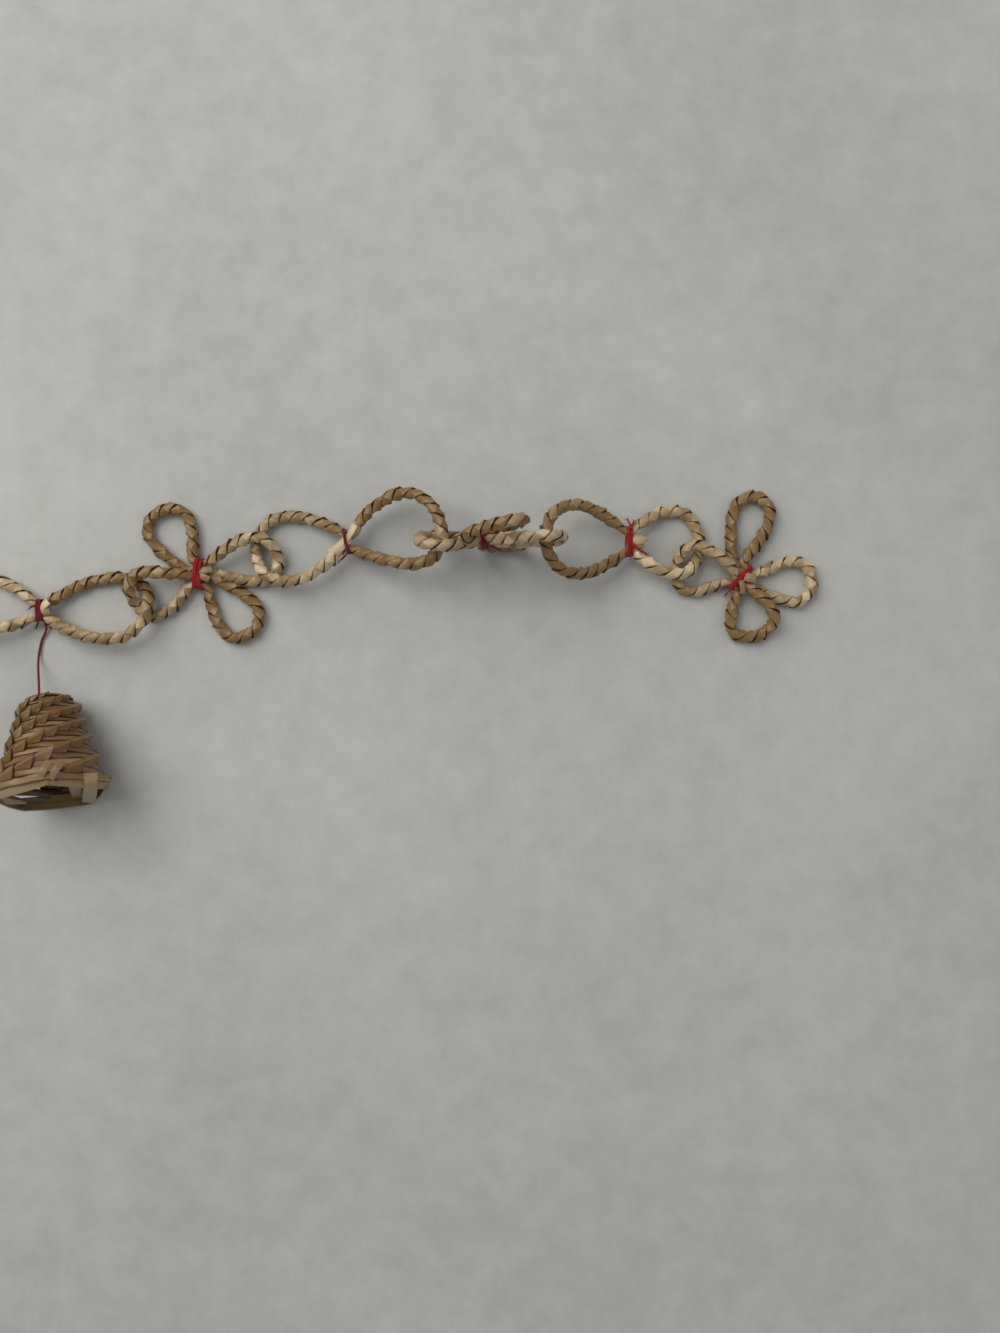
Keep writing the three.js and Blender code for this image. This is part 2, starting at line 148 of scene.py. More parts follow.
# ---------------------------------------------------------------- lines
class Spine:
    """Straight on from a start, an even turn, then straight to an end."""

    def __init__(self, start, direction, end, bend):
        self.start, self.direction, self.bend = start, direction, bend
        self.aim(end - start)
        for _ in range(30):
            self.aim(end - self.at(BEND_START + bend)[0])
        self.length = BEND_START + bend + np.linalg.norm(end - self.at(BEND_START + bend)[0])

    def aim(self, target):
        to = unit(target)
        self.angle = max(0.01, math.acos(float(np.clip(np.dot(self.direction, to), -1, 1))))
        self.radius = self.bend / self.angle
        self.inward = unit(to - self.direction * np.dot(to, self.direction))

    def at(self, distance):
        """The points at distances, the share of the turn made there, and the directions."""
        d = np.asarray(distance, float)[..., None]
        share = np.clip((d - BEND_START) / self.bend, 0, 1)
        angle = share * self.angle
        direction = self.direction * np.cos(angle) + self.inward * np.sin(angle)
        point = (self.start + self.direction * (np.minimum(d, BEND_START) + self.radius * np.sin(angle))
                 + self.inward * self.radius * (1 - np.cos(angle))
                 + direction * np.maximum(0, d - BEND_START - self.bend))
        return point, share, direction


def petal_line(spec, p, t):
    """Points on a petal's middle line at shares t of the way round."""
    forward, across, _ = waist_axes(spec)
    h, roll = math.radians(p["heading"]), math.radians(p["roll"])
    level = np.array([-math.sin(h), math.cos(h), 0])
    along = turn(p["heading"], p["pitch"])
    waist = np.array(spec["waist"], float)
    start = waist + across * p["lane"] * LANE_OFFSET
    strand = LANE_STRAND if p["lane"] else spec["half"] - SQUEEZE
    neck = p["neck"]
    swell = (p["width"] - strand) / 2 / (neck ** (neck / 2) / (1 + neck) ** ((neck + 1) / 2))
    spine = Spine(start, forward * p["end"], waist + along * p["length"], p["bend"])
    side_to = level * math.cos(roll) + np.cross(along, level) * math.sin(roll)
    u = math.pi * t
    reach = np.sin(u) ** 2
    distance = STRAND_START + (spine.length - STRAND_START) * reach
    offset = np.cos(u) * (strand + swell * np.sin(u) ** neck) + 4 * p["bow"] * reach * (1 - reach)
    point, share, direction = spine.at(distance)
    ease = smooth(share, 0, 1)
    side = across * p["end"] * (1 - ease) + side_to * ease
    side = unit(side - direction * (side * direction).sum(-1, keepdims=True))
    point = point + side * offset[:, None]
    if p["heights"]:
        low, high = p["heights"]
        lying = low + (high - low) * smooth(t, p["change"] - RISE_SPAN, p["change"] + RISE_SPAN)
        blend = smooth(np.minimum(t, 1 - t), 0.05, 0.25)
        point[:, 2] += (lying - point[:, 2]) * blend
    return point


def run_along(points):
    """The distance run along a line at each of its points."""
    return np.concatenate([[0], np.cumsum(np.linalg.norm(np.diff(points, axis=0), axis=1))])


def resample(points, step):
    """The same line at even steps, with the distance run at each point."""
    run = run_along(points)
    n = max(2, int(round(run[-1] / step)))
    s = np.linspace(0, run[-1], n + 1)
    return np.stack([np.interp(s, run, points[:, i]) for i in range(3)], 1), s


def frames(points):
    """Tangents and two normals that don't turn about the line."""
    tangent = unit(np.gradient(points, axis=0))
    first = UP - tangent[0] * np.dot(UP, tangent[0])
    if np.linalg.norm(first) < 0.2:
        first = np.array([0.0, 1.0, 0.0]) - tangent[0] * tangent[0][1]
    normal = unit(first)
    out = [normal]
    for a in tangent[1:]:
        normal = unit(normal - a * np.dot(normal, a))
        out.append(normal)
    up = np.array(out)
    return tangent, np.cross(up, tangent), up


def noise_line(n, step, scale, seed):
    """Smooth noise from -1 to 1 along a line of n points step apart."""
    r = np.random.default_rng(seed)
    count = int(n * step / scale) + 4
    knots = r.uniform(-1, 1, count)
    x = np.arange(n) * step / scale
    i = x.astype(int)
    f = x - i
    f = f * f * (3 - 2 * f)
    return knots[i] * (1 - f) + knots[i + 1] * f


def centripetal(points, count):
    """three.js's default Catmull-Rom curve through points, at count + 1 even parameters."""
    p = np.array(points, float)
    n = len(p)
    out = []
    for k in range(count + 1):
        x = (n - 1) * k / count
        i = min(int(x), n - 2)
        w = x - i
        p1, p2 = p[i], p[i + 1]
        p0 = p[i - 1] if i > 0 else p1 * 2 - p2
        p3 = p[i + 2] if i + 2 < n else p2 * 2 - p1
        d0, d1, d2 = (max(np.linalg.norm(b - a) ** 0.5, 1e-4) for a, b in ((p0, p1), (p1, p2), (p2, p3)))
        t1 = ((p1 - p0) / d0 - (p2 - p0) / (d0 + d1) + (p2 - p1) / d1) * d1
        t2 = ((p2 - p1) / d1 - (p3 - p1) / (d1 + d2) + (p3 - p2) / d2) * d1
        out.append(p1 + t1 * w + (-3 * p1 + 3 * p2 - 2 * t1 - t2) * w ** 2
                   + (2 * p1 - 2 * p2 + t1 + t2) * w ** 3)
    return np.array(out)


def straight(a, b, count, over=0.0):
    """Points from a to b, run on past both ends."""
    a, b = np.array(a), np.array(b)
    run = unit(b - a)
    t = np.linspace(0, 1, count)[:, None]
    return (a - run * over) * (1 - t) + (b + run * over) * t


# ---------------------------------------------------------------- meshes
def make_mesh(name, verts, faces, material, uv, tones, sharp):
    """A mesh object, millimetres in, metres out, smooth but for edges sharper than an angle."""
    mesh = bpy.data.meshes.new(name)
    mesh.from_pydata((np.asarray(verts) * MM).tolist(), [], [list(map(int, f)) for f in faces])
    layer = mesh.color_attributes.new("tone", "FLOAT_COLOR", "POINT")
    layer.data.foreach_set("color", np.asarray(tones, dtype=np.float32).ravel())
    layer = mesh.uv_layers.new(name="UVMap")
    loops = np.zeros(len(mesh.loops), dtype=np.int32)
    mesh.loops.foreach_get("vertex_index", loops)
    layer.data.foreach_set("uv", np.asarray(uv, dtype=np.float32)[loops].ravel())
    mesh.polygons.foreach_set("use_smooth", [True] * len(mesh.polygons))
    mesh.materials.append(material)
    mesh.update()
    mesh.set_sharp_from_angle(angle=math.radians(sharp))
    obj = bpy.data.objects.new(name, mesh)
    bpy.context.collection.objects.link(obj)
    return obj


class Build:
    """Gathers several grids into one mesh. A point's tone holds a shade, random tint with painted light and
    shade in it, how much painted shade it takes in a crease or under an edge, and how pale it is."""

    def __init__(self):
        self.verts, self.faces, self.uvs, self.tones, self.count = [], [], [], [], 0

    def add(self, verts, faces, uv, tone):
        self.verts.append(verts.reshape(-1, 3))
        self.faces += [tuple(int(i) + self.count for i in face) for face in faces]
        self.uvs.append(uv.reshape(-1, 2))
        self.tones.append(tone.reshape(-1, 4))
        self.count += len(self.verts[-1])

    def object(self, name, material, sharp=35):
        return make_mesh(name, np.concatenate(self.verts), self.faces, material,
                         np.concatenate(self.uvs), np.concatenate(self.tones), sharp)


def grid_faces(rows, columns, closed, offset=0):
    """Quads of a grid of vertices, row after row; closed joins the last column to the first."""
    cols = columns if closed else columns - 1
    r, c = np.meshgrid(np.arange(rows - 1), np.arange(cols), indexing="ij")
    a = offset + r * columns + c
    b = offset + r * columns + (c + 1) % columns
    quads = np.stack([a, b, b + columns, a + columns], -1).reshape(-1, 4)
    return [tuple(quad) for quad in quads]


def tube_faces(rows, columns):
    """A closed tube's quads and the faces of its two ends."""
    first = tuple(range(columns - 1, -1, -1))
    last = tuple((rows - 1) * columns + i for i in range(columns))
    return grid_faces(rows, columns, True) + [first, last]


def tube(points, radius, sides, taper=None, seed=0, lumps=0.0):
    """A closed tube along points: verts, faces, uvs and tones. taper(share) scales the radius."""
    _, left, up = frames(points)
    n = len(points)
    run = run_along(points)
    a = np.linspace(0, 2 * math.pi, sides, endpoint=False)
    r = np.full(n, radius, float)
    if taper:
        r = r * np.array([taper(s) for s in run / run[-1]])
    if lumps:
        r = r * (1 + lumps * noise_line(n, run[-1] / n, radius * 3, seed))
    ring = np.cos(a)[None, :, None] * left[:, None] + np.sin(a)[None, :, None] * up[:, None]
    verts = points[:, None] + ring * r[:, None, None]
    uv = np.stack(np.broadcast_arrays(a[None] * radius, run[:, None]), -1)
    tone = np.zeros((n, sides, 4))
    tone[..., 3] = 1
    return verts, tube_faces(n, sides), uv, tone


def solid_sheet(build, outer, inner, tone, inner_tone, uv):
    """A thin solid between two grids of points."""
    n, m = outer.shape[:2]
    faces = grid_faces(n, m, False) + [face[::-1] for face in grid_faces(n, m, False, n * m)]
    border = ([(i, 0) for i in range(n)] + [(n - 1, j) for j in range(1, m)]
              + [(i, m - 1) for i in range(n - 2, -1, -1)] + [(0, j) for j in range(m - 2, 0, -1)])
    ids = [i * m + j for i, j in border]
    faces += [(q, p, p + n * m, q + n * m) for p, q in zip(ids, ids[1:] + ids[:1])]
    build.add(np.concatenate([outer, inner]), faces, np.concatenate([uv, uv]),
              np.concatenate([tone, inner_tone]))


def narrowing(amount, start):
    """A width that narrows by an amount, from a start to the end."""
    return lambda share: 1 - amount * max(0, share - start) / (1 - start)


def ribbon(build, points, normals, width, thick=0.3, tint=0.0, pale=0.0, dome=0.12, shape=None, seed=0):
    """A flat straw strip along points, facing its normals. shape(share) scales its width."""
    points = np.array(points, float)
    n, m = len(points), 9
    tangent = unit(np.gradient(points, axis=0))
    normals = np.broadcast_to(np.array(normals, float), points.shape)
    normals = unit(normals - tangent * (normals * tangent).sum(-1, keepdims=True))
    side = np.cross(tangent, normals)
    across = np.linspace(-1, 1, m)
    w = np.array([shape(q) for q in np.linspace(0, 1, n)]) if shape else np.ones(n)
    lift = dome * (1 - across ** 2)
    top = (points[:, None] + side[:, None] * (across[None] * width / 2 * w[:, None])[..., None]
           + normals[:, None] * (lift + thick / 2)[None, :, None])
    under = top - normals[:, None] * thick
    uv = np.stack(np.broadcast_arrays(across[None] * width / 2 + seed * 3.3, run_along(points)[:, None]), -1)
    tone = np.zeros((n, m, 4))
    tone[..., 0], tone[..., 2], tone[..., 3] = tint, pale, 1
    # painted shade towards the strip's edges
    tone[..., 1] = np.abs(across)[None] ** 8 * 0.3
    solid_sheet(build, top, under, tone, tone, uv)


# ---------------------------------------------------------------- materials
CREASE_SHADE_COLOUR = (0.24, 0.125, 0.05, 1)  # painted shade: multiplies the straw's own colour deep in a crease, on a turned-under edge and on the plait's undersides
PALE_COLOUR = (0.78, 0.61, 0.38, 1)     # pale straw; on the ropes' listed pale stretches it is also a painted highlight


class Shader:
    """A new material, and short ways to add nodes to it. A value given for an input is either set on it
    or, if it is another node's output, linked to it."""

    def __init__(self, name):
        self.material = bpy.data.materials.new(name)
        self.material.use_nodes = True
        self.tree = self.material.node_tree

    def fill(self, node, inputs):
        for name, value in inputs.items():
            if isinstance(value, bpy.types.NodeSocket):
                self.tree.links.new(value, node.inputs[name])
            else:
                node.inputs[name].default_value = value

    def node(self, kind, inputs=None, **settings):
        node = self.tree.nodes.new("ShaderNode" + kind)
        for name, value in settings.items():
            setattr(node, name, value)
        self.fill(node, inputs or {})
        return node

    def surface(self, inputs):
        self.fill(self.tree.nodes["Principled BSDF"], inputs)

    def maths(self, operation, *values):
        return self.node("Math", dict(enumerate(values)), operation=operation).outputs[0]

    def noise(self, vector, scale, detail, roughness=0.5):
        inputs = {"Vector": vector, "Scale": scale, "Detail": detail, "Roughness": roughness}
        return self.node("TexNoise", inputs).outputs["Fac"]

    def ramp(self, value, *stops):
        node = self.node("ValToRGB", {"Fac": value})
        for element, (position, colour) in zip(node.color_ramp.elements, stops):
            element.position = position
            element.color = (*colour, 1)
        return node.outputs[0]

    def mix(self, factor, a, b, blend="MIX"):
        inputs = {"Factor": factor, "A": a, "B": b}
        return self.node("Mix", inputs, data_type="RGBA", blend_type=blend).outputs["Result"]

    def bump(self, height, strength, distance):
        inputs = {"Height": height, "Strength": strength, "Distance": distance}
        return self.node("Bump", inputs).outputs[0]

    def object_place(self):
        return self.node("TexCoord").outputs["Object"]

    def uv(self):
        return self.node("UVMap", uv_map="UVMap").outputs[0]


def straw_material(name, light, dark, shine):
    """Flattened straw: long fibres along the strip, broad colour patches, painted shade in creases and under
    edges.
    """
    shader = Shader(name)
    uv = shader.uv()
    tone = shader.node("Attribute", attribute_name="tone").outputs["Color"]
    shade, crease, pale = shader.node("SeparateColor", {0: tone}).outputs[:3]

    def grain(across, along, detail, roughness=0.5):
        drawn_out = shader.node("Mapping", {"Vector": uv, "Scale": (across, along, 1)}).outputs[0]
        return shader.noise(drawn_out, 1.0, detail, roughness)

    fibre = grain(9.0, 0.35, 3.0, 0.6)
    patch = grain(0.45, 0.22, 2.0)
    fine = grain(26.0, 1.1, 2.0, 0.7)
    # the tone's shade adds random tint and painted light and shade to the mottling
    mottle_and_painted_shade = shader.maths("ADD", shader.maths("MULTIPLY_ADD", fibre, 0.45, patch), shade)
    straw = shader.ramp(shader.maths("SUBTRACT", mottle_and_painted_shade, 0.72), (0.33, dark), (0.70, light))
    # painted shade: where the crease channel is high, the straw is darkened by the crease shade colour
    crease_shaded = shader.mix(crease, straw, CREASE_SHADE_COLOUR, "MULTIPLY")
    gloss = {"Value": fibre, "To Min": shine - 0.08, "To Max": shine + 0.16}
    rough = shader.node("MapRange", gloss).outputs[0]
    shader.surface({
        "Base Color": shader.mix(pale, crease_shaded, PALE_COLOUR),
        "Roughness": shader.maths("MULTIPLY_ADD", pale, -0.14, rough),
        "Normal": shader.bump(shader.maths("MULTIPLY_ADD", fine, 0.5, fibre), 0.35, 0.00012),
        "Specular IOR Level": 0.5,
        "Coat Weight": 0.2,
        "Coat Roughness": 0.3,
        "Sheen Weight": 0.08,
        "Sheen Roughness": 0.5,
    })
    return shader.material


def thread_material(name, colour, deep):
    """Twisted cotton thread: slanting plies and a soft fuzzy sheen."""
    shader = Shader(name)
    slant = {"Vector": shader.uv(), "Rotation": (0, 0, math.radians(32))}
    slanted = shader.node("Mapping", slant).outputs[0]
    twist = {"Vector": slanted, "Scale": 1.6, "Distortion": 1.5, "Detail": 2.0}
    wave = shader.node("TexWave", twist).outputs["Fac"]
    plies = shader.maths("MULTIPLY_ADD", wave, 0.5, shader.noise(shader.object_place(), 1400.0, 3.0))
    shader.surface({
        "Base Color": shader.ramp(plies, (0.35, deep), (0.85, colour)),
        "Normal": shader.bump(plies, 0.6, 0.0001),
        "Roughness": 0.85,
        "Sheen Weight": 0.04,
        "Sheen Roughness": 0.6,
    })
    return shader.material


def sheet_material():
    """The pale sheet that the garland lies on: soft patches, fine flecks and a slight tooth."""
    shader = Shader("pale_sheet")
    place = shader.object_place()
    patches = shader.ramp(shader.noise(place, 9.0, 4.0), (0.3, (0.485, 0.483, 0.465)),
                          (0.7, (0.56, 0.553, 0.525)))
    shader.surface({
        "Base Color": shader.mix(0.22, patches, shader.noise(place, 90.0, 6.0, 0.7), "OVERLAY"),
        "Roughness": 0.9,
        "Specular IOR Level": 0.2,
        "Normal": shader.bump(shader.noise(place, 260.0, 3.0), 0.12, 0.0004),
    })
    return shader.material


ROPE = straw_material("twisted_straw", (0.60, 0.395, 0.155), (0.245, 0.132, 0.038), 0.37)
PLAIT = straw_material("plaited_straw", (0.62, 0.385, 0.092), (0.195, 0.096, 0.017), 0.42)
BRIGHT = thread_material("red_thread", (0.38, 0.006, 0.005), (0.12, 0.002, 0.002))
DARK = thread_material("dark_red_thread", (0.22, 0.006, 0.012), (0.07, 0.002, 0.004))


# ---------------------------------------------------------------- camera, then the cord
def aim_camera(height):
    """Straight down onto the place that the links are placed from."""
    data = bpy.data.cameras.new("camera")
    data.lens = 27
    data.sensor_width = 36
    data.clip_start = 0.01
    camera = bpy.data.objects.new("camera", data)
    camera.location = (ORIGIN[0] * MM, ORIGIN[1] * MM, height)
    bpy.context.collection.objects.link(camera)
    bpy.context.scene.camera = camera


def bell_axes():
    """The bell's directions: to the right, up and away from the sheet, and along from crown to mouth."""
    along = turn(BELL["heading"], BELL["lean"])
    h = math.radians(BELL["heading"])
    right = np.array([-math.sin(h), math.cos(h), 0])
    return right, np.cross(along, right), along


def in_bell(x, y, z):
    """From the bell's own frame, mouth towards +z, to the model's frame in millimetres."""
    right, high, along = bell_axes()
    place = np.asarray(x)[..., None] * right + np.asarray(y)[..., None] * high
    return place + np.asarray(z)[..., None] * along + BELL["crown"] + ORIGIN


def cord_path():
    """The cord's route: the CAD's points, from under the bell's link to inside the bell."""
    spec = LINKS["bell_link"]
    x, y, z = waist_middle(spec)
    hx, hy = BELL["hole"]
    lying = CORD_RADIUS + 0.1
    start = np.array([x + 0.8, y - spec["half"] - BINDING_DEPTH - GAP, z - 1])
    second = start + (0.1, -2, 0)
    second[2] = lying + 0.7
    points = [start, second, (x - 0.7, y - 9, lying + 0.1), (x - 1.5, y - 14.5, lying + 0.6),
              in_bell(hx, hy, -4.0) + (-0.4, 0, -0.9), in_bell(hx, hy, 0.0), in_bell(hx, hy, 4.0),
              in_bell(hx, hy, CORD_INSIDE)]
    return centripetal(points, 70)


def bell_cord():
    path = cord_path()
    curve = bpy.data.curves.new("bell_cord", "CURVE")
    curve.dimensions = "3D"
    curve.bevel_depth = CORD_RADIUS * MM
    curve.bevel_resolution = 2
    curve.use_fill_caps = True
    spline = curve.splines.new("POLY")
    spline.points.add(len(path) - 1)
    for item, co in zip(spline.points, path):
        item.co = (*(co * MM), 1)
    curve.materials.append(DARK)
    cord = bpy.data.objects.new("bell_cord", curve)
    bpy.context.collection.objects.link(cord)
    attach(cord, "root")
    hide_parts("bell_thread")
    cord_knot(path[-1])


KNOT_LOOP, KNOT_THREAD = 0.62, 0.33  # radii of the knot's loops and of the thread in them


def cord_knot(end):
    """The knot that stops the cord inside the bell: three loops, each turned from the one before."""
    build = Build()
    a = np.linspace(0, 2 * math.pi * 1.1, 26)
    for k in range(3):
        axis = unit(np.array([0.3 * k - 0.2, 1, 0.4 - 0.5 * k]))
        u = unit(np.cross(axis, UP))
        w = np.cross(axis, u)
        ring = np.cos(a)[:, None] * u + np.sin(a)[:, None] * w
        loop = end + KNOT_LOOP * ring + axis * 0.18 * (k - 1)
        build.add(*tube(loop, KNOT_THREAD, 7))
    knot = build.object("bell_cord_knot", DARK)
    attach(knot, "root")


# ---------------------------------------------------------------- the ropes
PITCH = 7.8            # one full turn of the two plies
ROPE_STEP = 0.26       # between the points of a rope's middle line
FACET_RADIUS = 1.98    # out to the folds, where the flat straw bends round the rope
FACET_TURN = 56, 100   # degrees round the ply from one fold to the next
FOLD_SLANT = 0.62      # 1 is a fold lying along the rope, 0 one square across the ply
FOLD_ROWS = 4          # rows of the mesh from one fold to the next
ROUNDNESS = 0.3        # 0 leaves the facets flat, 1 makes the ply round
ROPE_LOWEST = 0.02     # above the sheet
STRAW_WIDTH = 5.2      # of a ply's strip, for its grain
STRETCH = 1.55         # of strip to a length of rope
# across a ply: the share of the half circle it covers, and its radius, out over the face and back inside
PLY_X = np.array([0, .03, .07, .12, .20, .30, .40, .50, .60, .70, .80, .88, .94, .99, 1.04,
                  1.03, .93, .60, .25])
PLY_R = np.interp(PLY_X, [0, .03, .07, .12, .20, .30, .50, .80, .94, .99, 1.04],
                  [.66, .75, .82, .87, .92, .95, .985, 1.03, 1.055, 1.055, 1.02])
PLY_R[-4:] = [.90, .66, .28, .28]


def folds(total, seed):
    """The folds round a ply: their angles, well past the total, their radii and their facets' tints."""
    r = np.random.default_rng(seed)
    angles = [-2.0]
    while angles[-1] < total + 2:
        angles.append(angles[-1] + math.radians(r.uniform(*FACET_TURN)))
    return np.array(angles), FACET_RADIUS * r.uniform(0.90, 1.09, len(angles)), r.uniform(-1, 1, len(angles))


def chord_radius(angle, angles, radii):
    """The radius at an angle round a polygon of flat facets between folds, and the facet it is on."""
    i = np.clip(np.searchsorted(angles, angle) - 1, 0, len(angles) - 2)
    a, b, ra, rb = angles[i], angles[i + 1], radii[i], radii[i + 1]
    t = angle - a
    w = b - a
    return ra * rb * np.sin(w) / (ra * np.sin(t) + rb * np.sin(w - t)), i


def bleach_and_highlight(share, stretches):
    """How pale a rope is at a share of its length, from its list of pale stretches: paler straw and painted
    highlight.
    """
    for begin, end, amount in stretches:
        inside = smooth(share, begin - 0.05, begin + 0.05) * (1 - smooth(share, end - 0.05, end + 0.05))
        yield inside * amount


def rope(build, points, seed, stretches=()):
    """A two-ply rope of flattened straw laid along points, twisted to the left. Each ply is a strip that
    goes round in flat facets, comes out from under the other at a crease and laps it at its far edge."""
    r = np.random.default_rng(seed)
    points, s = resample(points, ROPE_STEP)
    tangent, left, up = frames(points)
    outward = points - points.mean(0)
    outward = unit(outward - tangent * (outward * tangent).sum(-1, keepdims=True))

    def wave(scale, number):
        return noise_line(len(points), ROPE_STEP, scale, seed + number)

    total = 2 * math.pi * (s / PITCH + 0.07 * wave(9, 1))
    start = r.uniform(0, 2 * math.pi)
    # thinner where the binding squeezes it, at both ends
    near = np.minimum(s, s[-1] - s)
    squeeze = (1 + 0.05 * wave(6, 2)) * (0.70 + 0.30 * smooth(near, 0.5, 6))
    x = PLY_X[None]
    for ply in range(2):
        angles, radii, tints = folds(total[-1] + 2 * math.pi, seed * 2 + ply)
        rows = np.concatenate([np.linspace(a, b, FOLD_ROWS, endpoint=False)
                               for a, b in zip(angles, angles[1:])])
        rows = rows[(rows > total[0] + 0.5) & (rows < total[-1] + math.pi + 0.2)][:, None]
        turned = np.clip(rows + math.pi * (FOLD_SLANT * x - 1), total[0], total[-1])
        at = np.interp(turned, total, s)

        def along(line):
            return np.interp(at, s, line)

        def place(lines):
            return np.stack([along(lines[:, i]) for i in range(3)], -1)

        angle = start - turned + math.pi * (ply + x)
        ring = np.cos(angle)[..., None] * place(left) + np.sin(angle)[..., None] * place(up)
        # creases open on the outside of a bend, and the painted shade in them widens there
        outer = np.clip(0.5 + 0.7 * (ring * place(outward)).sum(-1), 0, 1)
        # painted shade in the crease where a ply comes out from under the other, and on its far edge, turned
        # under
        shade_width = (0.055 + 0.115 * outer) * (1 + 0.45 * along(wave(3.3, 31 + ply)))
        crease = np.exp(-(x / shade_width) ** 2)
        crease[:, -5:] = 0.7  # the far edge, turned under
        reach, facet = chord_radius(rows, angles, radii)
        reach = reach * (1 - ROUNDNESS) + 0.93 * FACET_RADIUS * ROUNDNESS
        puff = along(squeeze * (1 + 0.05 * wave(3.6, 11 + ply)))
        lap = along(0.05 * wave(2.2, 21 + ply)) * (x - 0.3)
        rr = reach * PLY_R[None] * puff * (1 + lap) * (1 - 0.2 * outer * np.exp(-(x / 0.12) ** 2))
        verts = place(points) + ring * rr[..., None]
        verts[..., 2] = np.maximum(verts[..., 2], ROPE_LOWEST)

        pale = np.clip(along(wave(10, 51 + ply)) * 1.2 - 0.8, 0, 1)
        # the listed pale stretches: paler straw and a painted highlight, varied facet by facet
        for amount in bleach_and_highlight(at / s[-1], stretches):
            pale = pale + amount * np.clip(0.75 + 0.55 * tints[facet - 1], 0, 1.2)
        tone = np.ones(verts.shape[:2] + (4,))
        # random tint per facet and per ply, with painted shade where the ply comes out of the crease and a
        # painted highlight towards its lapping edge
        tone[..., 0] = 0.17 * tints[facet] + (0.03 if ply else -0.03) + 0.12 * (x - 0.45)
        tone[..., 1] = crease
        tone[..., 2] = np.clip(pale, 0, 1) * (1 - crease)
        uv = np.stack(np.broadcast_arrays(x * STRAW_WIDTH + ply * 17 + seed * 3.1, at * STRETCH), -1)
        beyond = ((turned <= total[0]) | (turned >= total[-1])).ravel()
        faces = [face for face in grid_faces(*at.shape, True) if not beyond[list(face)].all()]
        build.add(verts, faces, uv, tone)


def link_rope(name, number):
    spec = LINKS[name]
    build = Build()
    shares = np.linspace(0, 1, 400)
    for i, p in enumerate(spec["petals"]):
        rope(build, petal_line(spec, p, shares) + ORIGIN, number * 100 + i * 7, p["pale"])
    obj = build.object(name + "_rope", ROPE, 30)
    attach(obj, "root")
    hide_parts(name)


# ---------------------------------------------------------------- the bindings
THREAD_RADIUS = 0.31
TAIL_RADIUS = 0.33
FRAY_RADIUS = 0.055    # a strand at a frayed end
FUZZ_RADIUS = 0.04     # a loose hair
FRAYS, HAIRS = 9, 26
SQUARENESS = 3.2       # of the turns' outline: 2 is an ellipse
TURN_POINTS = 44       # of a thread's line, to a turn
TURN_LOWEST = 0.36     # the middle of a turn, above the sheet
TAIL_LOWEST = 0.34
STRAND_LOWEST = 0.1
TOP = 1.9              # height of a thread over a waist's middle, on top of its strands


def wrapped(spec, turns, width, seed, tilt):
    """The line of a thread wound round a waist, and how far along the waist each of its points is."""
    forward, across, out = waist_axes(spec)
    half, deep = spec["half"] - 0.1 + 0.35, ROPE_RADIUS - 0.1 + 0.35
    n = int(turns * TURN_POINTS)
    a = np.linspace(0, 2 * math.pi * turns, n)
    c, s = np.cos(a), np.sin(a)
    k = (np.abs(c / half) ** SQUARENESS + np.abs(s / deep) ** SQUARENESS) ** (-1 / SQUARENESS)
    over = 0.5 * noise_line(n, 1, 19, seed + 2)
    x, y = k * c * (1 + over * 0.06), (k * s) * (1 + over * 0.22)
    wobble = 0.26 * noise_line(n, 1, 15, seed) + 0.08 * noise_line(n, 1, 5, seed + 1)
    f = np.linspace(-width / 2, width / 2, n) + wobble - tilt * x
    path = waist_middle(spec) + across * x[:, None] + out * y[:, None] + forward * f[:, None]
    path[:, 2] = np.maximum(path[:, 2], TURN_LOWEST)
    return path, f


def loose_end(build, points, r, seed):
    """A thread's loose end along points, with frayed strands at its tip."""
    points = centripetal(points, 24)
    points[:, 2] = np.maximum(points[:, 2], TAIL_LOWEST)
    build.add(*tube(points, TAIL_RADIUS, 7, narrowing(0.45, 0.7), seed, 0.2))
    end, heading = points[-1], unit(points[-1] - points[-5])
    for _ in range(FRAYS):
        tip = end + (heading + r.normal(0, 0.45, 3)) * r.uniform(0.5, 1.1)
        tip[2] = max(tip[2], STRAND_LOWEST)
        middle = (end + tip) / 2 + r.normal(0, 0.1, 3)
        middle[2] = max(middle[2], STRAND_LOWEST)
        build.add(*tube(centripetal([end - heading * 0.5, middle, tip], 6), FRAY_RADIUS, 4))


def fuzz(build, spec, path, f, r):
    """Loose hairs on the turns, except underneath."""
    forward = turn(spec["heading"])
    for _ in range(HAIRS):
        i = r.integers(0, len(path))
        lift = unit(path[i] - waist_middle(spec) - forward * f[i])
        if lift[2] < -0.2:
            continue
        tip = path[i] + (lift * 0.6 + r.normal(0, 0.35, 3)) * r.uniform(0.6, 1.2)
        tip[2] = max(tip[2], STRAND_LOWEST)
        middle = (path[i] + tip) / 2 + r.normal(0, 0.12, 3)
        build.add(*tube(centripetal([path[i], middle, tip], 6), FUZZ_RADIUS, 4))


def binding(name, turns, width, material, tails, seed, tilt=0.0):
    """Turns of thread round a waist, then its loose ends, as points from the waist's middle."""
    spec = LINKS[name]
    r = np.random.default_rng(seed)
    path, f = wrapped(spec, turns, width, seed, tilt)
    build = Build()
    build.add(*tube(path, THREAD_RADIUS, 8, None, seed, 0.14))
    for i, tail in enumerate(tails):
        loose_end(build, [waist_middle(spec) + point for point in tail], r, seed + i)
    fuzz(build, spec, path, f, r)
    obj = build.object(name + "_thread", material)
    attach(obj, "root")
    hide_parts(name + "_binding")


